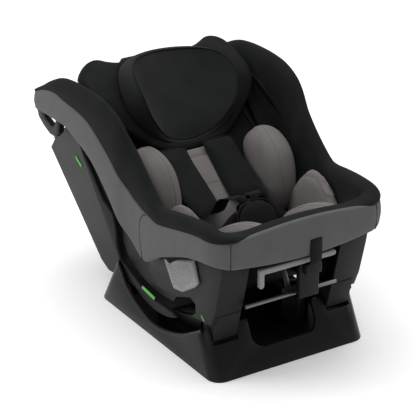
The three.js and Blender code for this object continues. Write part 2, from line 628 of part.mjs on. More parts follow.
// ---- harness ----
function makeHarness() {
  const padTop = HEAD_BOTTOM - 2;
  const under = BACK_SURFACE + PAD_THICK + GAP;
  const strap = box(SHOULDER_X - STRAP_WIDTH / 2, SHOULDER_X + STRAP_WIDTH / 2, 172, padTop,
    under, under + STRAP_THICK);
  placePair("shoulder_strap", strap, "webbing", backFrame);
  const pad = box(SHOULDER_X - SHOULDER_PAD_WIDTH / 2, SHOULDER_X + SHOULDER_PAD_WIDTH / 2, 196,
    padTop, under + STRAP_THICK + GAP, under + STRAP_THICK + GAP + SHOULDER_PAD_THICK);
  placePair("shoulder_pad", pad, "black_fabric", backFrame);
  const crotch = new THREE.Group(); // local z runs up the crotch pad, local y to the child
  crotch.position.set(0, -112, 222);
  crotch.rotation.x = -25 * RAD;
  part.add(crotch);
  const half = CROTCH_PAD_WIDTH / 2;
  const dome = new THREE.Shape();
  dome.moveTo(-half + 8, 24);
  dome.lineTo(half - 8, 24);
  dome.lineTo(half, CROTCH_PAD_HEIGHT - half);
  dome.absarc(0, CROTCH_PAD_HEIGHT - half, half, 0, Math.PI, false);
  place("crotch_pad", extrudeY(dome, -CROTCH_PAD_THICK, 0), "black_fabric", crotch);
  place("crotch_strap", box(-STRAP_WIDTH / 2, STRAP_WIDTH / 2, 8, 8 + STRAP_THICK, -6, 36),
    "webbing", crotch);
  const face = BUTTON_PROUD + 1.5;
  const z0 = 36 + GAP;
  const well = box(-BUTTON_WIDTH / 2 - GAP, BUTTON_WIDTH / 2 + GAP, face - 1, face + 9,
    z0 + 22 - GAP, z0 + 22 + BUTTON_HEIGHT + GAP);
  place("buckle_body", cut(extrudeY(roundRect(-BUCKLE_WIDTH / 2, BUCKLE_WIDTH / 2, z0,
    z0 + BUCKLE_HEIGHT, 9), face, face + BUCKLE_THICK), well), "dark_plastic", crotch);
  place("buckle_button", box(-BUTTON_WIDTH / 2, BUTTON_WIDTH / 2, face - BUTTON_PROUD, face + 4,
    z0 + 22, z0 + 22 + BUTTON_HEIGHT), "red_plastic", crotch);
  const tongueZ = z0 + BUCKLE_HEIGHT + GAP;
  const tongue = extrudeY([[2, tongueZ], [22, tongueZ], [30, tongueZ + 16], [8, tongueZ + 16]],
    face + 6, face + 9);
  placePair("tongue", tongue, "dark_plastic", crotch);
  const lap = extrudeY([[32, tongueZ - 8], [36, tongueZ - 14], [92, tongueZ - 44], [88, tongueZ - 70],
    [56, tongueZ - 52], [30, tongueZ - 30]], face + 4, face + 4 + STRAP_THICK);
  placePair("lap_strap", lap, "webbing", crotch);
}

// ---- headrest ----
function makeHeadrest() {
  const half = LINING_X - HEAD_GAP;
  const n0 = BACK_SURFACE + 1;
  const face = n0 + HEAD_PLATE + GAP;
  const mid = (HEAD_BOTTOM + HEAD_TOP) / 2;
  const hump = [[-half * 0.55, HEAD_BOTTOM], [half * 0.55, HEAD_BOTTOM], [half * 0.86, HEAD_BOTTOM + 38],
    [half, mid - 20], [half, mid + 50], [half * 0.9, HEAD_TOP - 42], [half * 0.6, HEAD_TOP - 14],
    [half * 0.3, HEAD_TOP - 3], [0, HEAD_TOP], [-half * 0.3, HEAD_TOP - 3], [-half * 0.6, HEAD_TOP - 14],
    [-half * 0.9, HEAD_TOP - 42], [-half, mid + 50], [-half, mid - 20],
    [-half * 0.86, HEAD_BOTTOM + 38]];
  const plateHump = hump.map(([x, t]) => [x * 0.86, mid + (t - mid) * 0.94]);
  place("headrest_plate", extrudeZ(plateHump, n0, n0 + HEAD_PLATE), "dark_plastic", backFrame);
  const wingIn = half - HEAD_BOLSTER;
  const hollow = [[wingIn * 0.8, face + HEAD_PAD], [wingIn, face + HEAD_PAD + 14],
    [wingIn + 22, face + HEAD_DEPTH + 20], [-wingIn - 22, face + HEAD_DEPTH + 20],
    [-wingIn, face + HEAD_PAD + 14], [-wingIn * 0.8, face + HEAD_PAD]];
  const room = extrudeY(hollow, 200, 700);
  const slope = extrudeX([[HEAD_TOP - HEAD_SLOPE, face + HEAD_DEPTH], [HEAD_TOP + 20, face + HEAD_CROWN],
    [HEAD_TOP + 20, face + HEAD_DEPTH + 20], [HEAD_TOP - HEAD_SLOPE, face + HEAD_DEPTH + 20]], -half, half);
  place("headrest_pad", cut(extrudeZ(hump, face, face + HEAD_DEPTH), room, slope), "black_fabric",
    backFrame);
  const rodTop = HEAD_TOP - 8;
  const rod = new THREE.CylinderGeometry(ROD_R, ROD_R, ROD_LENGTH, 12)
    .translate(ROD_X, rodTop - ROD_LENGTH / 2, BACK_SHELL_N - 4 - ROD_R);
  placePair("headrest_rod", rod, "steel", backFrame);
  const bridge = box(-ROD_X - 10, ROD_X + 10, rodTop + GAP, rodTop + 12, BACK_SHELL_N - 16, n0 - GAP);
  const lever = box(-30, 30, HEAD_TOP - 40, HEAD_TOP - 26, BACK_SHELL_N - 20, BACK_SHELL_N - 6);
  place("headrest_bridge", bridge, "dark_plastic", backFrame);
  place("headrest_lever", lever, "shell_plastic", backFrame);
}
function makeAdjuster() {
  place("adjuster_housing", box(4, 52, ADJUSTER_Y, ADJUSTER_Y + ADJUSTER_THICK, 150,
    BEAM_FLOOR - 1), "dark_plastic");
  place("adjuster_button", box(9, 47, ADJUSTER_Y - 16, ADJUSTER_Y - 1, 209, 234), "dark_plastic");
  place("adjuster_strap", box(2, 32, FRONT_Y - 11.5, FRONT_Y - 9, 238, 298), "webbing");
  const yoke = box(-42, 42, 236, 262, BACK_SHELL_N - 26, BACK_SHELL_N - 20);
  place("harness_yoke", yoke, "steel", backFrame);
}

makeBase();
makeFeet();
makeRails();
makeRack();
makeBucket();
makeSidePanels();
makeHousings();
makeBackCover();
makeRunners();
makeFront();
makeHandle();
makeBolt();
makeVents();
makeBeltGuides();
makePathMarks();
makeCover();
makeLiners();
makeInsert();
makeHarness();
makeHeadrest();
makeAdjuster();

export default part;
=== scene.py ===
# A reclined child car seat on a cradle base: padded cover and insert, harness, headrest and
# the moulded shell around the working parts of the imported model. Metres, +Z up, facing -Y.
import json
import math

import bmesh
import bpy
from mathutils import Matrix, Vector
from mathutils.kdtree import KDTree

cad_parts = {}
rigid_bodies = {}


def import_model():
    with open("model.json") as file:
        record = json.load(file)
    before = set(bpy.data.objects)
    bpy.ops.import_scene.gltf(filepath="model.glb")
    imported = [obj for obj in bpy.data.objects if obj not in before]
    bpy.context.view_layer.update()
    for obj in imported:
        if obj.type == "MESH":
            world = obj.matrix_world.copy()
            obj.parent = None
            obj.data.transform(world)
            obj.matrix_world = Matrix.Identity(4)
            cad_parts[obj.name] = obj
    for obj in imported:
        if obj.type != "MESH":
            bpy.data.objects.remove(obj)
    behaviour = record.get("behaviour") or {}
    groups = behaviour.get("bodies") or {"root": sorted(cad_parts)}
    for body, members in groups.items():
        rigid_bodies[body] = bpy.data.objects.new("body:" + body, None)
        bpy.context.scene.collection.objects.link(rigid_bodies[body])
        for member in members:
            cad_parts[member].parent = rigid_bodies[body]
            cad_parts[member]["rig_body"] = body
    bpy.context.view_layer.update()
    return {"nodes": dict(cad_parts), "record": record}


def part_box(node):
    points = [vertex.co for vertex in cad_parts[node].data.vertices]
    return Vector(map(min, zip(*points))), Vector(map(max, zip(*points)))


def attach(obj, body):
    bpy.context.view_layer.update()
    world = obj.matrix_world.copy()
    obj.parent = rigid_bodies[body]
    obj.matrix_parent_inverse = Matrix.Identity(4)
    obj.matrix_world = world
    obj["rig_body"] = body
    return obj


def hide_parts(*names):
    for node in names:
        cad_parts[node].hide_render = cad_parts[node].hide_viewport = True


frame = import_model()

MM = 0.001
BACK_TILT = math.radians(42)
SEAT_TILT = math.radians(38)
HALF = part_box("cover_band")[1].x / MM
PANEL_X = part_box("side_panel_left")[1].x / MM
GREY_THICK = 12

# Side lines of the cover, as (y, z) from the front to the rear end of a wing.
HEM = [(-270, 271), (-232, 277), (-162, 267), (-81, 237), (-52, 221), (-9, 199), (31, 221),
       (75, 253), (110, 290), (166, 339), (204, 361), (254, 378), (299, 391), (386, 388),
       (445, 382)]
SEAM = [(-270, 330), (-245, 328), (-200, 328), (-151, 321), (-71, 306), (-53, 306),
        (18, 324), (60, 349), (100, 382), (137, 407), (194, 437), (244, 447), (305, 451),
        (345, 455), (403, 442), (445, 424)]
RIM = [(-270, 341), (-230, 348), (-208, 351), (-158, 349), (-109, 343), (-70, 338),
       (-48, 342), (-12, 370), (24, 404), (50, 431), (74, 457), (100, 480), (138, 496),
       (181, 502), (230, 503), (281, 500), (328, 491), (375, 470), (413, 448), (445, 431)]
# How far the cover's outside stands in from half the seat's width; less than nothing is out.
NARROWING = [(-212, 16), (-150, 10), (-100, 5), (-60, 2), (40, 0), (85, -8), (345, -8),
             (445, -2)]
# Where the lining's inner wall meets the back and the seat.
FLOOR = [(-270, 322), (-212, 292), (-150, 244), (-100, 205), (-60, 174), (-45, 164), (0, 198),
         (85, 274), (196, 374), (255, 425), (290, 412), (320, 398), (403, 392), (445, 388)]
FLOOR_DEPTH = [(-270, 46), (-150, 68), (-60, 74), (0, 72), (60, 58), (120, 50), (250, 44),
               (445, 36)]
# How thick the black roll over the rim is.
ROLL = [(-270, 40), (-200, 38), (-100, 34), (-50, 30), (30, 27), (150, 26), (330, 24), (445, 22)]
FRONT_Y = -270
CORNER = 58  # plan radius of the cover's front corners
FRONT_SPREAD = 165  # how far from the middle the front's low mouth reaches
CORNER_START = -212
WING_END = 445
STATION_STEP = 9.0
PANEL_PROUD = 8.15  # from the side panel's face to the vent's holes, drawn as dark discs with painted shade
HOOK_INSET = 29  # from the cover's outside to the middle of the belt guide
CLOTH_FRAMES = 20
THREAD_TURN = (0.5, 0.35, 0.6)  # turns the weave off the axes


def value_at(table, y):
    """A smooth value between the table's rows."""
    if y <= table[0][0]:
        return table[0][1]
    if y >= table[-1][0]:
        return table[-1][1]
    i = next(k for k in range(1, len(table)) if table[k][0] >= y)
    (y0, z0), (y1, z1) = table[i - 1], table[i]
    before, after = table[max(i - 2, 0)], table[min(i + 1, len(table) - 1)]
    step = y1 - y0
    m0 = (z1 - before[1]) / (y1 - before[0]) * step
    m1 = (after[1] - z0) / (after[0] - y0) * step
    u = (y - y0) / step
    return ((2 * u ** 3 - 3 * u ** 2 + 1) * z0 + (u ** 3 - 2 * u ** 2 + u) * m0
            + (3 * u ** 2 - 2 * u ** 3) * z1 + (u ** 3 - u ** 2) * m1)


def on_back(x, t, n):
    """A point from its place across, up along and out of the backrest, in millimetres."""
    return Vector((x, t * math.cos(BACK_TILT) - n * math.sin(BACK_TILT),
                   t * math.sin(BACK_TILT) + n * math.cos(BACK_TILT)))


def on_seat(x, v, m):
    """A point from its place across, rearwards along and out of the seat surface."""
    return Vector((x, v * math.cos(SEAT_TILT) + m * math.sin(SEAT_TILT),
                   -v * math.sin(SEAT_TILT) + m * math.cos(SEAT_TILT)))


# ---- camera, light and floor ----
def look(name, place, target, data):
    thing = bpy.data.objects.new(name, data)
    bpy.context.collection.objects.link(thing)
    turn = (Vector(target) - Vector(place)).to_track_quat("-Z", "Y").to_matrix().to_4x4()
    thing.matrix_world = Matrix.Translation(place) @ turn
    return thing


def make_camera():
    data = bpy.data.cameras.new("camera")
    data.lens = 173.08
    data.sensor_width = 36
    data.clip_end = 50
    place = Vector((-2.0776, -3.2036, 2.0298))
    forward = Vector((0.48322, 0.76785, -0.42053))
    camera = look("camera", place, place + forward, data)
    bpy.context.scene.camera = camera


def make_lights():
    def soft_box(name, place, size, power, target=(0, 0, 0.28)):
        data = bpy.data.lights.new(name, "AREA")
        data.shape = "RECTANGLE"
        data.size, data.size_y = size
        data.energy = power
        look(name, place, target, data)

    soft_box("overhead", (0.1, 0.5, 2.6), (2.6, 2.2), 46)
    soft_box("left_front", (-2.6, -1.6, 2.1), (1.6, 2.2), 11)
    soft_box("right_side", (2.6, -0.9, 1.7), (1.2, 2.2), 24)
    soft_box("rear_left", (-2.2, 1.6, 2.2), (1.6, 1.8), 40)
    world = bpy.data.worlds.new("room")
    world.use_nodes = True
    background = world.node_tree.nodes["Background"]
    background.inputs["Color"].default_value = (1, 1, 1, 1)
    background.inputs["Strength"].default_value = 0.45
    bpy.context.scene.world = world
    bpy.context.scene.view_settings.view_transform = "Standard"


def make_floor():
    bm = bmesh.new()
    bmesh.ops.create_grid(bm, x_segments=1, y_segments=1, size=14)
    bmesh.ops.translate(bm, vec=(0, 0, -0.0006), verts=bm.verts)
    floor = add_mesh("floor", bm)
    material = bpy.data.materials.new("floor_paint")
    material.use_nodes = True
    shader = material.node_tree.nodes["Principled BSDF"]
    shader.inputs["Base Color"].default_value = (0.93, 0.93, 0.925, 1)
    shader.inputs["Roughness"].default_value = 0.9
    shader.inputs["Emission Color"].default_value = (1, 1, 1, 1)
    shader.inputs["Emission Strength"].default_value = 0.16
    floor.data.materials.append(material)


# ---- materials ----
class Finish:
    """A material built from a few procedural steps."""

    def __init__(self, name, roughness, specular=0.5, sheen=0.0, metallic=0.0, coat=0.0):
        self.material = bpy.data.materials.new(name)
        self.material.use_nodes = True
        self.tree = self.material.node_tree
        self.shader = self.tree.nodes["Principled BSDF"]
        self.shader.inputs["Roughness"].default_value = roughness
        self.shader.inputs["Specular IOR Level"].default_value = specular
        self.shader.inputs["Sheen Weight"].default_value = sheen
        self.shader.inputs["Sheen Roughness"].default_value = 0.45
        self.shader.inputs["Metallic"].default_value = metallic
        self.shader.inputs["Coat Weight"].default_value = coat
        self.coords = self.node("ShaderNodeTexCoord").outputs["Object"]

    def node(self, kind, **inputs):
        made = self.tree.nodes.new(kind)
        for name, value in inputs.items():
            made.inputs[name.replace("_", " ")].default_value = value
        return made

    def join(self, out, into):
        self.tree.links.new(out, into)

    def noise(self, scale, detail=3.0, stretch=(1, 1, 1)):
        mapping = self.node("ShaderNodeMapping", Scale=stretch)
        made = self.node("ShaderNodeTexNoise", Scale=scale, Detail=detail)
        self.join(self.coords, mapping.inputs["Vector"])
        self.join(mapping.outputs["Vector"], made.inputs["Vector"])
        return made.outputs["Fac"]

    def threads(self, scale, turn=(0, 0, 0), profile="SIN", direction="X"):
        mapping = self.node("ShaderNodeMapping", Rotation=turn)
        made = self.node("ShaderNodeTexWave", Scale=scale)
        made.bands_direction = direction
        made.wave_profile = profile
        self.join(self.coords, mapping.inputs["Vector"])
        self.join(mapping.outputs["Vector"], made.inputs["Vector"])
        return made.outputs["Fac"]

    def sum(self, first, second, kind="MULTIPLY"):
        made = self.tree.nodes.new("ShaderNodeMath")
        made.operation = kind
        self.join(first, made.inputs[0])
        if isinstance(second, float):
            made.inputs[1].default_value = second
        else:
            self.join(second, made.inputs[1])
        return made.outputs[0]

    def colours(self, fac, stops):
        ramp = self.node("ShaderNodeValToRGB")
        while len(ramp.color_ramp.elements) < len(stops):
            ramp.color_ramp.elements.new(0.5)
        for element, (place, colour) in zip(ramp.color_ramp.elements, stops):
            element.position = place
            element.color = (*colour, 1)
        self.join(fac, ramp.inputs["Fac"])
        return ramp.outputs["Color"]

    def paint(self, colour):
        self.join(colour, self.shader.inputs["Base Color"])

    def rough(self, fac, low, high):
        made = self.node("ShaderNodeMapRange", To_Min=low, To_Max=high)
        self.join(fac, made.inputs["Value"])
        self.join(made.outputs["Result"], self.shader.inputs["Roughness"])

    def bump(self, fac, strength, distance):
        made = self.node("ShaderNodeBump", Strength=strength, Distance=distance)
        previous = self.shader.inputs["Normal"]
        if previous.is_linked:
            self.join(previous.links[0].from_socket, made.inputs["Normal"])
        self.join(fac, made.inputs["Height"])
        self.join(made.outputs["Normal"], self.shader.inputs["Normal"])


def shade(colour, share):
    return tuple(min(1.0, c * share) for c in colour)


def woven(name, colour, weave=2300.0, sheen=0.25, contrast=0.22, rough=0.85, depth=0.00012,
          specular=0.25):
    """A close plain weave over foam: two crossing sets of threads, mottled yarn, soft sheen."""
    f = Finish(name, rough, specular=specular, sheen=sheen)
    count = weave / (2 * math.pi)
    across = f.threads(count, turn=THREAD_TURN)
    along = f.threads(count, turn=THREAD_TURN, direction="Y")
    cloth = f.sum(across, along, "MAXIMUM")
    mottle = f.noise(420.0, 4.0)
    soft = f.noise(26.0, 3.0)
    mixed = f.sum(f.sum(cloth, mottle, "MULTIPLY"), soft, "ADD")
    f.paint(f.colours(mixed, [(0.35, shade(colour, 1 - contrast)), (0.75, colour),
                              (1.0, shade(colour, 1 + contrast))]))
    f.rough(mottle, rough - 0.08, min(1.0, rough + 0.08))
    f.bump(cloth, 0.35, depth)
    f.bump(soft, 0.12, 0.0012)
    return f.material


def moulded(name, colour, rough=0.45, grain=900.0, depth=0.00006, specular=0.5, variation=0.12):
    """Injection-moulded plastic: a fine spark-eroded grain, slight flow marks and rubbed sheen."""
    f = Finish(name, rough, specular=specular)
    fine = f.noise(grain, 2.0)
    flow = f.noise(9.0, 4.0, (1, 1, 2.2))
    f.paint(f.colours(flow, [(0.3, shade(colour, 1 - variation)),
                             (0.7, shade(colour, 1 + variation))]))
    f.rough(f.sum(flow, fine, "MULTIPLY"), rough - 0.07, rough + 0.16)
    f.bump(fine, 0.3, depth)
    return f.material


def webbing(name, colour):
    f = Finish(name, 0.7, specular=0.12, sheen=0.02)
    ribs = f.threads(260.0, turn=(0.7, 0, 0.0), direction="Y")
    edge = f.threads(120.0, direction="X")
    mottle = f.noise(600.0)
    f.paint(f.colours(f.sum(ribs, mottle), [(0.1, shade(colour, 0.6)), (0.7, shade(colour, 1.5))]))
    f.bump(f.sum(ribs, edge, "ADD"), 0.5, 0.0002)
    return f.material


def plated(name, colour, rough=0.28):
    f = Finish(name, rough, metallic=1.0)
    brushed = f.noise(300.0, 4.0, (1, 12, 12))
    f.paint(f.colours(brushed, [(0.3, shade(colour, 0.85)), (0.7, colour)]))
    f.rough(brushed, rough - 0.06, rough + 0.14)
    f.bump(brushed, 0.1, 0.00004)
    return f.material


MATERIALS = {
    "base_plastic": moulded("base_plastic", (0.0030, 0.0030, 0.0032), 0.34, 700.0, 0.00005, 0.2),
    "shell_plastic": moulded("shell_plastic", (0.0085, 0.0087, 0.0091), 0.5, 800.0, 0.00008,
                             0.16),
    "dark_plastic": moulded("dark_plastic", (0.0035, 0.0035, 0.0038), 0.48, 900.0,
                            specular=0.18),
    "light_plastic": moulded("light_plastic", (0.2, 0.203, 0.206), 0.42, 900.0, 0.00004, 0.35),
    "green_plastic": moulded("green_plastic", (0.055, 0.36, 0.025), 0.35, 900.0, 0.00003),
    "red_plastic": moulded("red_plastic", (0.5, 0.02, 0.015), 0.3, 900.0, 0.00003),
    "steel": plated("steel", (0.19, 0.193, 0.197), 0.38),
    "rubber": moulded("rubber", (0.012, 0.012, 0.012), 0.8, 1200.0, 0.0001, 0.3),
    "black_fabric": woven("black_fabric", (0.0085, 0.0090, 0.0090), sheen=0.02, contrast=0.3, specular=0.08),
    "grey_fabric": woven("grey_fabric", (0.086, 0.087, 0.089), sheen=0.05, contrast=0.1, specular=0.15),
    "insert_fabric": woven("insert_fabric", (0.135, 0.123, 0.122), 1700.0, 0.06, 0.12, 0.92, specular=0.12),
    "headrest_fabric": woven("headrest_fabric", (0.0122, 0.0128, 0.0135), sheen=0.03,
                             contrast=0.25, specular=0.1),
    "webbing": webbing("webbing", (0.0055, 0.0055, 0.0055)),
}


# ---- mesh helpers ----
def add_mesh(name, bm, smooth=True):
    mesh = bpy.data.meshes.new(name)
    bm.to_mesh(mesh)
    bm.free()
    thing = bpy.data.objects.new(name, mesh)
    bpy.context.collection.objects.link(thing)
    for face in mesh.polygons:
        face.use_smooth = smooth
    return thing


def finish_piece(thing, slot, body="seat", replaces=(), levels=0, angle=None):
    """Gives a piece its material, its body and the CAD nodes that it stands for."""
    thing.data.materials.clear()
    thing.data.materials.append(MATERIALS[slot])
    if levels:
        modifier = thing.modifiers.new("smooth", "SUBSURF")
        modifier.levels = modifier.render_levels = levels
    if angle is not None:
        sharpen(thing, angle)
    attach(thing, body)
    if replaces:
        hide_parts(*replaces)
    return thing


def sharpen(thing, degrees):
    """Splits the shading where two faces meet at more than this angle."""
    bm = bmesh.new()
    bm.from_mesh(thing.data)
    for edge in bm.edges:
        edge.smooth = len(edge.link_faces) != 2 or edge.calc_face_angle() < math.radians(degrees)
    bm.to_mesh(thing.data)
    bm.free()


def ring_loft(name, rings, closed=False, caps=True):
    """A skin bridged through rings of points in millimetres; closed joins the last to the first."""
    bm = bmesh.new()
    loops = []
    for ring in rings:
        verts = [bm.verts.new(Vector(p) * MM) for p in ring]
        loops.append([bm.edges.new((verts[i - 1], verts[i])) for i in range(len(verts))])
    pairs = list(zip(loops, loops[1:]))
    if closed:
        pairs.append((loops[-1], loops[0]))
    for first, second in pairs:
        bmesh.ops.bridge_loops(bm, edges=first + second)
    if caps and not closed:
        bmesh.ops.holes_fill(bm, edges=loops[0] + loops[-1], sides=0)
    bmesh.ops.recalc_face_normals(bm, faces=bm.faces)
    return add_mesh(name, bm)


def spline(points, count, closed=True):
    """Points evenly spaced in parameter on a smooth line through the given points."""
    points = [Vector(p) for p in points]
    total = len(points)
    spans = total if closed else total - 1
    made = []
    for k in range(count):
        s = k * spans / (count if closed else count - 1)
        i = min(int(s), spans - 1)
        u = s - i
        if closed:
            p = [points[(i + j - 1) % total] for j in range(4)]
        else:
            p = [points[min(max(i + j - 1, 0), total - 1)] for j in range(4)]
        made.append(0.5 * ((2 * p[1]) + (p[2] - p[0]) * u
                           + (2 * p[0] - 5 * p[1] + 4 * p[2] - p[3]) * u * u
                           + (3 * p[1] - p[0] - 3 * p[2] + p[3]) * u ** 3))
    return made


def tube(name, points, radius, slot, body="seat", replaces=(), sides=3):
    """A round cord or rod along a line of points in millimetres."""
    curve = bpy.data.curves.new(name, "CURVE")
    curve.dimensions = "3D"
    curve.bevel_depth = radius * MM
    curve.bevel_resolution = sides
    curve.use_fill_caps = True
    line = curve.splines.new("POLY")
    line.points.add(len(points) - 1)
    for target, p in zip(line.points, points):
        target.co = (*(Vector(p) * MM), 1)
    holder = bpy.data.objects.new(name + "_line", curve)
    bpy.context.collection.objects.link(holder)
    graph = bpy.context.evaluated_depsgraph_get()
    mesh = bpy.data.meshes.new_from_object(holder.evaluated_get(graph))
    bpy.data.objects.remove(holder)
    thing = bpy.data.objects.new(name, mesh)
    bpy.context.collection.objects.link(thing)
    for face in mesh.polygons:
        face.use_smooth = True
    return finish_piece(thing, slot, body, replaces)


def rounded(node, width=1.5, segments=2, angle=32, name=None, slot=None):
    """A copy of a moulded or metal CAD node with its edges rounded over."""
    source = frame["nodes"][node]
    bm = bmesh.new()
    bm.from_mesh(source.data)
    bmesh.ops.remove_doubles(bm, verts=bm.verts, dist=1e-6)
    bmesh.ops.dissolve_limit(bm, angle_limit=math.radians(1.2), verts=bm.verts, edges=bm.edges)
    thing = add_mesh(name or node + "_moulding", bm)
    sharpen(thing, angle)
    modifier = thing.modifiers.new("edges", "BEVEL")
    modifier.width = width * MM
    modifier.segments = segments
    modifier.limit_method = "ANGLE"
    modifier.angle_limit = math.radians(angle)
    modifier.use_clamp_overlap = True
    modifier.harden_normals = False
    bake_modifiers(thing)
    sharpen(thing, 50)
    record_slot = slot or next(s["material_slot"] for s in frame["record"]["subparts"]
                               if s["node"] == node)
    body = source["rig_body"]
    return finish_piece(thing, record_slot, body, [node])


def bake_modifiers(thing):
    """Applies the piece's modifiers to its mesh."""
    graph = bpy.context.evaluated_depsgraph_get()
    mesh = bpy.data.meshes.new_from_object(thing.evaluated_get(graph))
    thing.modifiers.clear()
    thing.data = mesh


# ---- cover ----
def plan_half(y):
    return HALF - value_at(NARROWING, y)


def cover_stations():
    """Places round the cover's outside: x, y, the direction inwards and the y of the side lines."""
    side = []
    run = WING_END - CORNER_START
    count = int(run / STATION_STEP)
    for k in range(count + 1):
        y = WING_END - run * k / count
        side.append((plan_half(y), y, 1.0, 0.0, y))
    cx = plan_half(CORNER_START) - CORNER
    cy = FRONT_Y + CORNER
    for k in range(1, 13):
        a = math.radians(90 * k / 12)
        nx, ny = math.cos(a), -math.sin(a)
        side.append((cx + CORNER * nx, cy + CORNER * ny, nx, ny, cy + CORNER * ny))
    for k in range(1, 16):
        x = cx * (1 - k / 15)
        side.append((x, FRONT_Y - 9 * (1 - (x / cx) ** 2), 0.0, -1.0, FRONT_Y))
    other = [(-x, y, -nx, ny, v) for x, y, nx, ny, v in reversed(side[:-1])]
    return side + other


def front_share(station):
    """1 at the middle of the front, 0 from the corners on."""
    x, _, _, ny, _ = station
    return math.cos(math.pi / 2 * min(1, abs(x) / FRONT_SPREAD)) if ny < -0.9 else 0.0


def cover_lines(station):
    y = station[4]
    share = front_share(station)
    seam = value_at(SEAM, y) + 17 * share
    hem = value_at(HEM, y) - 8 * share
    rim = max(value_at(RIM, y), seam + 5)
    lip = min(1.0, share * 2.2)
    rim = rim * (1 - lip) + (seam - 3) * lip
    return hem, seam, rim, lip


def ring_at(station, section):
    x, y, nx, ny, _ = station
    return [(x - nx * depth, y - ny * depth, z) for depth, z in section]


def soft_section(points, count):
    return [(p.x, p.y) for p in spline([(d, z, 0) for d, z in points], count)]


def make_band():
    rings = []
    for s in cover_stations():
        hem, seam, _, lip = cover_lines(s)
        inside = GREY_THICK
        top = [(0.2, seam - 7), (2.4 + lip, seam - 0.8), (7 + 2 * lip, seam + 0.6 * lip)]
        back = [(inside - 1 + 3 * lip, seam - 3), (inside + 2 * lip, seam - 14)]
        middle = (hem + seam) / 2
        rings.append(ring_at(s, soft_section(
            [(inside - 1, hem + 9), (inside - 4, hem + 1), (5.2, hem - 1.2), (1.6, hem + 3),
             (0.1, hem + 11), (-1.6, middle), *top, *back, (inside, middle)], 30)))
    band = ring_loft("cover_band_grey", rings)
    finish_piece(band, "grey_fabric", "seat", ["cover_band"])
    return band


def make_liner():
    rings = []
    for s in cover_stations():
        _, seam, rim, lip = cover_lines(s)
        y = s[4]
        floor = value_at(FLOOR, y) + 22 * front_share(s)
        foot = value_at(FLOOR_DEPTH, y)
        start = 12 * lip
        tall = rim - seam
        floor = min(floor, rim - 12)
        drop = rim - floor
        outer = [(start + 6, seam - 6), (start + 2.5, seam - 1), (start + 0.6, seam + 0.22 * tall),
                 (start + 0.8, seam + 0.55 * tall), (start + 5.5, seam + 0.86 * tall),
                 (start + 11, rim)]
        roll = value_at(ROLL, y)
        inner = [(start * 0.6 + 0.6 * roll + 4, rim - 1),
                 (start * 0.4 + roll, rim - min(9, 0.25 * drop)),
                 (roll + 5, rim - min(24, 0.45 * drop)),
                 (roll + 6 + 0.3 * (foot - roll), floor + 0.4 * drop),
                 (foot, floor + 0.12 * drop), (foot + 14, floor)]
        under = [(foot + 12, floor - 5), (foot - 6, floor - 4), (roll - 1, floor + 0.35 * drop - 4),
                 (roll - 7, rim - min(24, 0.5 * drop)),
                 (0.5 * roll + start * 0.5, rim - min(12, 0.4 * drop))]
        rings.append(ring_at(s, soft_section(outer + inner + under, 44)))
    liner = ring_loft("cover_liner_black", rings)
    finish_piece(liner, "black_fabric", "seat",
                 ["cover_rim", "side_lining_left", "side_lining_right"])
    return liner


def even(points, count, closed=True):
    """Points a steady distance apart on a smooth line through the given points."""
    dense = spline(points, 400, closed)
    if closed:
        dense.append(dense[0])
    reach = [0.0]
    for first, second in zip(dense, dense[1:]):
        reach.append(reach[-1] + (second - first).length)
    made = []
    place = 0
    for k in range(count):
        goal = reach[-1] * k / (count if closed else count - 1)
        while place < len(reach) - 2 and reach[place + 1] < goal:
            place += 1
        span = max(reach[place + 1] - reach[place], 1e-9)
        made.append(dense[place].lerp(dense[place + 1], min(1.0, (goal - reach[place]) / span)))
    return made


def both_sides(half):
    """A closed line from its right half, which runs from the middle of the top to the bottom."""
    return list(half) + [(-row[0], *row[1:]) for row in reversed(half[1:-1])]


def pillow(name, edge, front, back, count=56, crown=2.6):
    """A closed cushion crowned on both faces of its edge line."""
    line = even(edge, count)
    centre = sum(line, Vector()) / count
    front, back = Vector(front), Vector(back)
    steps = (0.08, 0.25, 0.42, 0.58, 0.72, 0.84, 0.93)

    def ring(share, lift):
        return [centre + (p - centre) * share + lift * (1 - share ** crown) for p in line]

    rings = [ring(share, front) for share in steps] + [line]
    rings += [ring(share, back) for share in reversed(steps)]
    return ring_loft(name, rings)


def plump(thing, cap=8.0, voxel=5.0, pressure=4.0, held=lambda p: False):
    """Fills the cover by a short cloth run under pressure; each point moves by the cap at most."""
    remesh = thing.modifiers.new("even_mesh", "REMESH")
    remesh.mode = "VOXEL"
    remesh.voxel_size = voxel * MM
    bake_modifiers(thing)
    mesh = thing.data
    group = thing.vertex_groups.new(name="held")
    group.add([v.index for v in mesh.vertices if held(v.co / MM)], 1.0, "REPLACE")
    start = [v.co.copy() for v in mesh.vertices]
    cloth = thing.modifiers.new("filling", "CLOTH")
    cloth.settings.use_pressure = True
    cloth.settings.uniform_pressure_force = pressure
    cloth.settings.effector_weights.gravity = 0
    cloth.settings.vertex_group_mass = "held"
    cloth.settings.quality = 4
    scene = bpy.context.scene
    for count in range(1, CLOTH_FRAMES + 1):
        scene.frame_set(count)
    graph = bpy.context.evaluated_depsgraph_get()
    moved = [v.co.copy() for v in thing.evaluated_get(graph).data.vertices]
    scene.frame_set(1)
    thing.modifiers.clear()
    for vertex, before, after in zip(mesh.vertices, start, moved):
        step = after - before
        if step.length > cap * MM:
            step *= cap * MM / step.length
        vertex.co = before + step
    thing.vertex_groups.clear()
    bm = bmesh.new()
    bm.from_mesh(mesh)
    bmesh.ops.smooth_vert(bm, verts=bm.verts, factor=0.5, use_axis_x=True, use_axis_y=True,
                          use_axis_z=True)
    bm.to_mesh(mesh)
    bm.free()
    finer = thing.modifiers.new("finer", "SUBSURF")
    finer.levels = finer.render_levels = 1
    bake_modifiers(thing)
    for face in thing.data.polygons:
        face.use_smooth = True


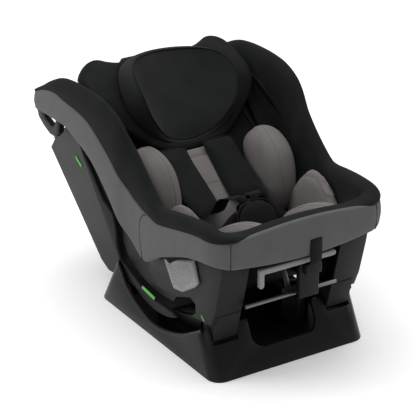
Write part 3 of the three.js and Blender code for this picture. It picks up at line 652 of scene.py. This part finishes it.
def sew(thing, name, line, slot, depth=2.2, width=4.0, thread=0.8, body="seat"):
    """Draws the cover in along a seam and lays the thread in the channel."""
    bm = bmesh.new()
    bm.from_mesh(thing.data)
    tree = KDTree(len(line))
    for index, p in enumerate(line):
        tree.insert(p, index)
    tree.balance()
    bm.normal_update()
    normals = {v: v.normal.copy() for v in bm.verts}
    for vertex in bm.verts:
        gap = tree.find(vertex.co / MM)[2]
        if gap < 3 * width:
            vertex.co -= normals[vertex] * depth * MM * math.exp(-(gap / width) ** 2)
    surface = KDTree(len(bm.verts))
    for index, vertex in enumerate(bm.verts):
        surface.insert(vertex.co, index)
    surface.balance()
    laid = []
    for p in line:
        near = surface.find_n(p * MM, 6)
        laid.append(sum((hit[0] for hit in near), Vector()) / len(near) / MM)
    laid = [laid[0]] + [(a + b + c) / 3 for a, b, c in zip(laid, laid[1:], laid[2:])] + [laid[-1]]
    bm.to_mesh(thing.data)
    bm.free()
    return tube(name, laid, thread, slot, body)


def strap(name, path, across, width, slot="webbing", body="seat", replaces=(), thick=1.6):
    """Flat webbing along a path; across is the direction of its width."""
    line = even(path, 26, closed=False)
    wide = Vector(across).normalized()
    rings = []
    for index, p in enumerate(line):
        after = line[min(index + 1, len(line) - 1)]
        before = line[max(index - 1, 0)]
        run = (after - before).normalized()
        side = (wide - run * wide.dot(run)).normalized()
        up = run.cross(side)
        ring = []
        for share, lift in ((-1, 0), (-0.96, 0.5), (0, 0.6), (0.96, 0.5), (1, 0), (0.96, -0.5),
                            (0, -0.6), (-0.96, -0.5)):
            ring.append(p + side * share * width / 2 + up * lift * thick)
        rings.append(ring)
    return finish_piece(ring_loft(name, rings), slot, body, replaces)


# ---- headrest ----
# Right half of the padded shell's outline, top to bottom: across, up, rear face, front face.
HEAD_EDGE = [(0, 592, 90, 150), (40, 588, 90, 150), (76, 579, 92, 152), (112, 580, 112, 160),
             (142, 592, 124, 165), (172, 582, 122, 167), (189, 556, 122, 170),
             (193, 520, 140, 182), (192, 482, 151, 194), (187, 452, 151, 192),
             (170, 425, 151, 186), (146, 402, 151, 182), (112, 374, 151, 174),
             (80, 352, 151, 166), (40, 344, 151, 162), (0, 342, 151, 160)]
HEAD_CREST = [(0, 576, 168), (45, 566, 182), (80, 545, 208), (103, 518, 232), (116, 485, 245),
              (118, 447, 248), (108, 412, 228), (90, 390, 203), (66, 377, 176), (40, 370, 160),
              (0, 366, 155)]
HEAD_CREASE = [(0, 583, 158), (50, 577, 163), (95, 558, 178), (121, 530, 194), (132, 500, 198),
               (133, 455, 192), (124, 418, 184), (101, 386, 176), (72, 368, 166), (40, 360, 158),
               (0, 356, 153)]
HEAD_MIDDLE = 470
HEAD_FACE = 168
LINING_CLEAR = 151.5
HEAD_POINTS = 96
HEAD_TOP_ROLL = 553  # above this the shell rolls back over the lining


def make_headrest():
    rear_line = even(both_sides([(x, t, rear) for x, t, rear, _ in HEAD_EDGE]), HEAD_POINTS)
    front_line = even(both_sides([(x, t, front) for x, t, _, front in HEAD_EDGE]), HEAD_POINTS)
    crest = even(both_sides(HEAD_CREST), HEAD_POINTS)
    crease = even(both_sides(HEAD_CREASE), HEAD_POINTS)

    def scaled(line, share, lift=0.0, least=None, most=None):
        made = []
        for p in line:
            t = HEAD_MIDDLE + (p.y - HEAD_MIDDLE) * share
            n = p.z + lift
            if least is not None and t < HEAD_TOP_ROLL:
                n = max(n, least)
            if most is not None:
                n = min(n, most)
            made.append(Vector((p.x * share, t, n)))
        return made

    rings = [scaled(rear_line, 0.15, 0, 152), scaled(rear_line, 0.5, 0, 152),
             scaled(rear_line, 0.8, 0, LINING_CLEAR), scaled(rear_line, 0.93, 0, LINING_CLEAR),
             scaled(rear_line, 0.985, 1, LINING_CLEAR + 1)]
    rings.append([r.lerp(f, 0.3) for r, f in zip(rear_line, front_line)])
    rings.append([r.lerp(f, 0.72) for r, f in zip(rear_line, front_line)])
    rings += [scaled(front_line, 0.988, -2), scaled(front_line, 0.96, 1)]
    rim = scaled(front_line, 0.92, 2)
    rings.append(rim)
    rings.append([a.lerp(b, 0.5) + Vector((0, 0, 4)) for a, b in zip(rim, crease)])
    rings.append([p + Vector((0, 0, -1)) for p in crease])
    rings.append(scaled(crease, 0.93, -14, 153))
    rings.append(scaled(crease, 0.5, -40, 153, 155))
    shell = ring_loft("headrest_shell", [[on_back(*p) for p in ring] for ring in rings])
    finish_piece(shell, "black_fabric", "headrest", ["headrest_plate"], levels=1)

    rings = []
    for share in (0.1, 0.3, 0.5, 0.68, 0.82, 0.92, 0.975):
        rings.append([Vector((p.x * share, HEAD_MIDDLE + (p.y - HEAD_MIDDLE) * share,
                              HEAD_FACE + (p.z - HEAD_FACE) * share ** 3.2)) for p in crest])
    rings.append(crest)
    for share, swell in ((0.12, 2), (0.35, 4.5), (0.65, 4), (0.9, 1.5)):
        ring = []
        for a, b in zip(crest, crease):
            out = Vector((a.x, a.y - HEAD_MIDDLE, 0)).normalized()
            ring.append(a.lerp(b, share) + out * swell + Vector((0, 0, 0.5 * swell)))
        rings.append(ring)
    rings.append([p + Vector((0, 0, -5)) for p in crease])
    rings.append(scaled(crease, 0.9, -20, 157))
    rings.append(scaled(crease, 0.5, -40, 157, 158))
    cushion = ring_loft("headrest_cushion", [[on_back(*p) for p in ring] for ring in rings])
    finish_piece(cushion, "black_fabric", "headrest", ["headrest_pad"], levels=1)
    cushion.data.materials[0] = MATERIALS["headrest_fabric"]
    piping = [on_back(p.x, p.y, p.z + 0.6) for p in crest]
    tube("headrest_piping", piping + [piping[0]], 1.6, "black_fabric", "headrest")


# ---- insert cushions ----
# Up the back, innermost x, ridge height, outermost x, height there.
EAR = [(151, 120, 166, 150, 160), (163, 109, 188, 160, 178), (181, 102, 210, 167, 196),
       (210, 98, 231, 172, 216), (245, 96, 246, 174, 231), (272, 97, 247, 174, 232),
       (295, 100, 242, 172, 228), (315, 105, 233, 169, 220), (331, 114, 220, 162, 208),
       (341, 126, 200, 152, 192)]
EAR_RIDGE = [(130, 152, 172), (128, 164, 192), (127, 181, 212), (126, 210, 233),
             (126, 245, 248), (127, 272, 249), (128, 295, 244), (131, 315, 235),
             (137, 333, 220), (141, 343, 200)]
EAR_BASE = 148


def make_ear_cushion(side, tag):
    out, up = (7, 14) if side < 0 else (0, 0)
    rings = []
    for t, inner, ridge, outer, rim in EAR:
        rise = ridge - EAR_BASE
        rings.append([on_back(side * (x + out), t + up, n) for x, n in spline_pairs([
            (inner + 8, EAR_BASE), (inner, EAR_BASE + 0.3 * rise),
            (inner + 2, EAR_BASE + 0.62 * rise),
            (inner + 11, EAR_BASE + 0.88 * rise), (127, ridge - 0.5), (143, ridge - 1),
            (outer - 9, (ridge + rim) / 2 + 1), (outer, rim - 7),
            (outer + 1, EAR_BASE + 0.4 * rise),
            (outer - 8, EAR_BASE), ((inner + outer) / 2, EAR_BASE - 1)], 40)])
    cushion = ring_loft("ear_cushion_%s_padded" % tag, rings)
    subdivide_once(cushion)
    plump(cushion, 5, 4.5, 4, lambda p: near_lining(p) < EAR_BASE + 6)
    finish_piece(cushion, "insert_fabric", "seat", ["ear_cushion_" + tag])
    ridge = [(side * (x + out), t + up, n) for x, t, n in EAR_RIDGE]
    seam = [on_back(*p) for p in even(ridge, 60, closed=False)]
    sew(cushion, "ear_seam_" + tag, seam, "insert_fabric", 2.4, 3.6, 0.9)


def near_lining(p):
    """How far out of the backrest a point in millimetres lies."""
    return -p.y * math.sin(BACK_TILT) + p.z * math.cos(BACK_TILT)


def spline_pairs(points, count):
    """The same smooth line for points in two measures."""
    return [(p.x, p.y) for p in spline([(a, b, 0) for a, b in points], count)]


def subdivide_once(thing):
    """One level of smooth subdivision, applied."""
    finer = thing.modifiers.new("finer", "SUBSURF")
    finer.levels = finer.render_levels = 1
    bake_modifiers(thing)


HIP_EDGE = [(-108, 112), (-98, 150), (-104, 180), (-132, 212), (-170, 230), (-206, 236),
            (-238, 236), (-262, 228), (-284, 208), (-300, 176), (-308, 138), (-300, 108),
            (-210, 104)]


def make_hip_cushion(side, tag):
    edge = [on_seat(side * (166 - 0.10 * (240 - m)), v, m) for v, m in HIP_EDGE]
    cushion = pillow("hip_cushion_%s_padded" % tag, edge, (-side * 15, 0, 0), (side * 12, 0, 0), crown=3.2)
    subdivide_once(cushion)
    plump(cushion, 5, 4.5, 4)
    finish_piece(cushion, "insert_fabric", "seat", ["hip_cushion_" + tag])
    seam = even([on_seat(side * (156 - 0.14 * (240 - m)), v, m) for v, m in
                 ((-132, 160), (-152, 190), (-187, 214), (-224, 221), (-256, 210), (-276, 184),
                  (-288, 144))], 60, closed=False)
    sew(cushion, "hip_seam_" + tag, seam, "insert_fabric", 1.6, 3.4, 0.8)


def make_back_pad():
    half = [(0, 349), (40, 348), (72, 341), (90, 322), (96, 290), (96, 230), (92, 170), (80, 140),
            (40, 131), (0, 130)]
    edge = [on_back(x, t, 153) for x, t in both_sides(half)]
    lift = on_back(0, 0, 1)
    pad = pillow("back_pad_padded", edge, lift * 15, lift * -6, crown=3.4)
    subdivide_once(pad)
    plump(pad, 5, 5, 3, lambda p: near_lining(p) < 149)
    finish_piece(pad, "insert_fabric", "seat", ["back_pad"])
    for index, (middle, end) in enumerate(((318, 306), (250, 238))):
        line = even([on_back(x, middle + (end - middle) * (x / 84) ** 2, 166)
                     for x in (-84, -56, -28, 0, 28, 56, 84)], 60, closed=False)
        sew(pad, "back_pad_seam_%d" % (index + 1), line, "insert_fabric", 2.2, 4.2, 0.8)


ROLL_X = 88
ROLL_STATIONS = [(-182, 118, 136, 12), (-192, 108, 152, 20), (-220, 104, 159, 24),
                 (-260, 102, 157, 26), (-300, 102, 153, 26), (-335, 102, 145, 25),
                 (-362, 102, 136, 23), (-382, 103, 127, 18), (-393, 105, 118, 10)]


def make_seat_pad():
    half = [(0, -188), (60, -186), (96, -192), (104, -220), (104, -300), (102, -350),
            (88, -368), (40, -372), (0, -372)]
    edge = [on_seat(x, v, 107) for x, v in both_sides(half)]
    lift = on_seat(0, 0, 1)
    pad = pillow("seat_pad_padded", edge, lift * 14, lift * -7, crown=3.2)
    subdivide_once(pad)
    plump(pad, 5, 5, 3)
    finish_piece(pad, "insert_fabric", "seat", ["seat_pad"])
    for side, tag in ((1, "left"), (-1, "right")):
        rings = []
        for v, low, high, wide in ROLL_STATIONS:
            rings.append([on_seat(side * (ROLL_X + wide * x), v, low + (high - low) * rise)
                          for x, rise in spline_pairs([(-1, 0.1), (-1.04, 0.5), (-0.72, 0.86),
                                                       (0, 1), (0.72, 0.86), (1.04, 0.5), (1, 0.1),
                                                       (0, 0)], 32)])
        roll = ring_loft("leg_roll_" + tag, rings)
        subdivide_once(roll)
        plump(roll, 4, 4.5, 4)
        finish_piece(roll, "insert_fabric", "seat")
        for index, share in enumerate((-0.5, 0.1, 0.62)):
            line = even([on_seat(side * (ROLL_X + wide * share), v,
                                 low + (high - low) * (1.02 - 0.3 * share * share))
                         for v, low, high, wide in ROLL_STATIONS[1:-1]], 60, closed=False)
            sew(roll, "leg_roll_%s_seam_%d" % (tag, index + 1), line, "insert_fabric", 1.8, 3.0, 0.8)


def make_linings():
    lift = on_back(0, 0, 1)
    half = [(0, 549), (80, 548), (140, 540), (162, 505), (164, 380), (163, 240), (158, 140),
            (120, 108), (0, 106)]
    edge = [on_back(x, t, 138) for x, t in both_sides(half)]
    back = pillow("back_lining_padded", edge, lift * 7, lift * -7, 72, 6)
    finish_piece(back, "black_fabric", "seat", ["back_lining"], levels=1)
    lift = on_seat(0, 0, 1)
    half = [(0, -154), (110, -154), (160, -162), (164, -230), (162, -320), (140, -350), (0, -356)]
    edge = [on_seat(x, v, 91) for x, v in both_sides(half)]
    seat = pillow("seat_lining_padded", edge, lift * 7, lift * -7, 72, 6)
    finish_piece(seat, "black_fabric", "seat", ["seat_lining"], levels=1)


# ---- harness ----
PAD_EDGE = [(16, 209, 178), (17, 203, 181), (50, 190, 192), (80, 180, 205), (84, 184, 204),
            (84, 222, 196), (83, 262, 187), (82, 300, 180), (81, 338, 175), (77, 344, 174),
            (46, 346, 173), (18, 344, 173), (13, 338, 173), (13, 300, 173), (14, 250, 175)]
SLANT = 22  # how far the top of the right pad stands out
WIDER = 12


def make_shoulder_pads():
    lift = on_back(0, 0, 1)
    for side, tag, drop in ((1, "left", 0), (-1, "right", 14)):
        slant = SLANT if side < 0 else 0
        wide = WIDER if side < 0 else 0
        edge = [on_back(side * (x + (wide if x > 60 and t > 200 else 0)
                                 + slant * min(1.0, max(0.0, (t - 190) / 130))),
                        t - drop * max(0.0, (300 - t) / 120), n) for x, t, n in PAD_EDGE]
        pad = pillow("shoulder_pad_%s_padded" % tag, edge, lift * 8, lift * -6, 64, 5)
        finish_piece(pad, "black_fabric", "seat", ["shoulder_pad_" + tag], levels=1)
        seam = even(edge, 90)
        tube("shoulder_pad_piping_" + tag, seam + [seam[0]], 1.5, "black_fabric")
        path = [on_back(side * 46, 342, 168), on_back(side * 47, 270, 169),
                on_back(side * 48, 215 - drop, 179), on_back(side * 44, 186 - drop, 196),
                Vector((side * 32, -20, 297)), Vector((side * 16, -54, 308))]
        strap("shoulder_webbing_" + tag, path, (1, 0, 0), 34,
              replaces=["shoulder_strap_" + tag])


ADJUSTER_X = 17
CROTCH_FOOT = Vector((0, -112, 222))
CROTCH_TILT = math.radians(25)


def on_crotch(x, out, up):
    """A point on the crotch strap's own frame: across, towards the child, along the strap."""
    return CROTCH_FOOT + Vector((x, out * math.cos(CROTCH_TILT) + up * math.sin(CROTCH_TILT),
                                 -out * math.sin(CROTCH_TILT) + up * math.cos(CROTCH_TILT)))


def make_crotch():
    half = [(0, 94), (22, 91), (38, 80), (47, 62), (48, 42), (44, 26), (30, 22), (0, 22)]
    edge = [on_crotch(x, -6, up) for x, up in both_sides(half)]
    out = on_crotch(0, 1, 0) - on_crotch(0, 0, 0)
    pad = pillow("crotch_pad_padded", edge, out * -9, out * 6, 56, 3.6)
    subdivide_once(pad)
    plump(pad, 4, 4, 3)
    finish_piece(pad, "black_fabric", "seat", ["crotch_pad"])
    seam = even(edge, 80)
    tube("crotch_pad_piping", seam + [seam[0]], 1.5, "black_fabric")
    strap("crotch_webbing", [on_crotch(0, 9, -8), on_crotch(0, 9, 12), on_crotch(0, 9, 37)],
          (1, 0, 0), 38, replaces=["crotch_strap"])
    for side, tag in ((1, "left"), (-1, "right")):
        path = [on_crotch(side * 30, 15, 64), on_crotch(side * 48, 14, 56),
                on_crotch(side * 70, 12, 42), on_crotch(side * 92, 8, 26)]
        strap("lap_webbing_" + tag, path, on_crotch(side * 0.4, 0, 1) - on_crotch(0, 0, 0), 30,
              replaces=["lap_strap_" + tag])


def make_adjuster_strap():
    path = [(ADJUSTER_X, FRONT_Y - out, z)
            for out, z in ((4, 303), (10.5, 298), (11, 280), (10.5, 246), (4, 237))]
    strap("adjuster_webbing", path, (1, 0, 0), 29, replaces=["adjuster_strap"])


# ---- details on the sides ----
CORNER_SEAM_ANGLE = math.radians(62)
# Where the band's side seam runs: a y and a share of the way from hem to seam.
SIDE_SEAM = [(-24, 1.0), (-14, 0.94), (-4, 0.8), (0, 0.6), (-2, 0.35), (-8, 0.0)]
# Lines and outlines in side view: y and z.
HOOK_EDGE = [(466, 377), (484, 366), (476, 348), (452, 334), (424, 324), (404, 325)]
BASE_LIP = [(-172, 98), (-160, 90), (-130, 72), (-99, 55), (-50, 38), (0, 28.5), (45, 29),
            (85, 42), (110, 56), (133, 72), (150, 92), (164, 108)]
BASE_HALF = 186
BASE_DRAFT = 0.02  # the base's sides come in by this share of the height
VENT_AREA = [(-40, 196), (-130, 230), (-143, 199), (-132, 187), (-94, 162), (-64, 157)]
VENT_START = (-150, 158)
VENT_ROWS = 16
VENT_COLUMNS = 18
VENT_STEP = (7.2, 5.4)  # along and up; every second row stands half a step on
VENT_HOLE_R = 1.15
VENT_HOLE_DEPTH = 0.5
CHANNEL_INSET = 13.5  # from the side panel's face to the channel's wall
CHANNEL_WALL_T = 1.2
MARK_PROUD = 0.2


def band_seam_shade(name, places, side):
    """A sewn line across the band, drawn as a black cord sunk into it: painted shade of the seam's groove;
    each place is a y and a share of the way from hem to seam.
    """
    points = []
    for y, share in places:
        hem, top = value_at(HEM, y), value_at(SEAM, y)
        depth = 0.2 - 1.3 * math.sin(math.pi * share)
        points.append((side * (plan_half(y) - depth), y, hem + 1 + (top - hem - 3) * share))
    tube(name, even(points, 40, closed=False), 0.75, "black_fabric")


def corner_seam_shade(name, side):
    """A sewn line up the band, round the front corner, drawn as a black cord sunk into it: painted shade of
    the seam's groove.
    """
    station = next(s for s in cover_stations() if s[3] <= -math.sin(CORNER_SEAM_ANGLE))
    hem, top, _, _ = cover_lines(station)
    points = []
    for step in range(13):
        share = step / 12
        depth = 0.3 - 1.4 * math.sin(math.pi * share)
        x, y, z = ring_at(station, [(depth, hem + 1 + (top - hem - 3) * share)])[0]
        points.append((side * x, y, z))
    tube(name, points, 0.75, "black_fabric")


def inside(point, outline):
    """Whether a place lies within an outline."""
    y, z = point
    hit = False
    for (y0, z0), (y1, z1) in zip(outline, outline[1:] + outline[:1]):
        if (z0 > z) != (z1 > z) and y < (y1 - y0) * (z - z0) / (z1 - z0) + y0:
            hit = not hit
    return hit


def make_vent_hole_shade(side, tag):
    """The grille's holes as one mesh of small dark discs, in rows half a step apart; the discs paint in the
    shade inside the holes and the dark plastic behind them.
    """
    bm = bmesh.new()
    face = side * (PANEL_X + PANEL_PROUD)
    along, rise = VENT_STEP
    for row in range(VENT_ROWS):
        for column in range(VENT_COLUMNS):
            y = VENT_START[0] + column * along + (along / 2 if row % 2 else 0)
            z = VENT_START[1] + row * rise
            if not inside((y, z), VENT_AREA):
                continue
            turn = (Matrix.Translation(Vector((face, y, z)) * MM)
                    @ Matrix.Rotation(math.pi / 2, 4, "Y"))
            bmesh.ops.create_cone(bm, cap_ends=True, segments=8, radius1=VENT_HOLE_R * MM,
                                  radius2=VENT_HOLE_R * MM, depth=VENT_HOLE_DEPTH * MM,
                                  matrix=turn)
    # The discs are painted shade where the grille has holes.
    holes = add_mesh("vent_hole_shade_" + tag, bm)
    finish_piece(holes, "dark_plastic", "seat", angle=40)


CHANNEL_EDGE = [(-30, 98), (29, 92), (82, 98), (129, 112), (160, 127), (176, 152), (181, 188),
                (194, 218), (238, 240), (282, 284), (318, 316), (335, 338), (337, 378),
                (330, 394), (299, 397), (254, 384), (204, 366), (166, 344), (110, 296),
                (75, 259), (31, 227), (-9, 206), (-60, 226), (-62, 140)]


def make_channel_wall(side, tag):
    """The dark inner wall behind the opening between the side panel and the cover."""
    bm = bmesh.new()
    x = side * (PANEL_X - CHANNEL_INSET) * MM
    face = bm.faces.new([bm.verts.new((x, y * MM, z * MM)) for y, z in CHANNEL_EDGE])
    made = bmesh.ops.extrude_face_region(bm, geom=[face])["geom"]
    outer = [part for part in made if isinstance(part, bmesh.types.BMVert)]
    bmesh.ops.translate(bm, vec=(side * CHANNEL_WALL_T * MM, 0, 0), verts=outer)
    bmesh.ops.recalc_face_normals(bm, faces=bm.faces)
    finish_piece(add_mesh("channel_wall_" + tag, bm), "dark_plastic", "seat", angle=30)


def make_details():
    for side, tag in ((1, "left"), (-1, "right")):
        # Black cords along the band's seams: painted shade of the seam grooves.
        band_seam_shade("band_side_seam_shade_" + tag, SIDE_SEAM, side)
        corner_seam_shade("band_corner_seam_" + tag, side)
        make_vent_hole_shade(side, tag)
        make_channel_wall(side, tag)
        hook_x = side * (HALF - HOOK_INSET)
        edge = even([(hook_x, y, z) for y, z in HOOK_EDGE], 40, closed=False)
        tube("belt_guide_edge_" + tag, edge, 3.2, "green_plastic")
        lip = [(side * (BASE_HALF - z * BASE_DRAFT), y, z) for y, z in BASE_LIP]
        tube("base_lip_" + tag, even(lip, 60, closed=False), 4.6, "base_plastic", "base", sides=5)
        mark_x = side * (PANEL_X + MARK_PROUD)
        mark = [(mark_x, 359, 288), (mark_x, 334, 273)]
        strap("upper_mark_" + tag, mark, (0, -0.5, 0.86), 6, "green_plastic", thick=1.2)
        mark = [(mark_x, -160, 127), (mark_x, -171, 118)]
        strap("front_mark_" + tag, mark, (0, -0.64, 0.77), 4, "green_plastic", thick=1.2)


make_camera()
make_lights()
make_floor()
make_details()
make_band()
make_liner()
make_headrest()
for side_sign, side_tag in ((1, "left"), (-1, "right")):
    make_ear_cushion(side_sign, side_tag)
    make_hip_cushion(side_sign, side_tag)
make_back_pad()
make_seat_pad()
make_linings()
make_shoulder_pads()
make_crotch()
make_adjuster_strap()

# ---- moulded and metal pieces: how wide each one's edges are rounded ----
HARD = {"base_tray": 2.2, "side_panel_left": 3.0, "side_panel_right": 3.0,
        "front_housing_left": 3.0, "front_housing_right": 3.0, "bucket_shell": 1.2,
        "back_cover": 2.0, "recline_handle": 2.5, "buckle_body": 3.0, "belt_guide_left": 3.0,
        "belt_guide_right": 3.0, "headrest_lever": 2.5, "vent_grille_left": 2.0,
        "vent_grille_right": 2.0, "foot_pad_1": 0.8, "foot_pad_2": 0.8, "foot_pad_3": 0.8,
        "foot_pad_4": 0.8, "recline_rack": 0.6, "recline_bolt": 0.8, "front_beam": 2.5,
        "cross_rod": 0.8, "guide_rail_left": 1.0, "guide_rail_right": 1.0,
        "rocker_runner_left": 1.5, "rocker_runner_right": 1.5, "headrest_rod_left": 0.8,
        "headrest_rod_right": 0.8, "harness_yoke": 1.5, "adjuster_housing": 3.0,
        "adjuster_button": 2.5, "buckle_button": 1.5, "tongue_left": 0.8, "tongue_right": 0.8,
        "belt_path_mark_left": 0.5, "belt_path_mark_right": 0.5, "headrest_bridge": 3.0}
OTHER_SLOT = {"belt_guide_left": "dark_plastic", "belt_guide_right": "dark_plastic"}
for hard_node, edge_width in HARD.items():
    rounded(hard_node, edge_width, slot=OTHER_SLOT.get(hard_node))
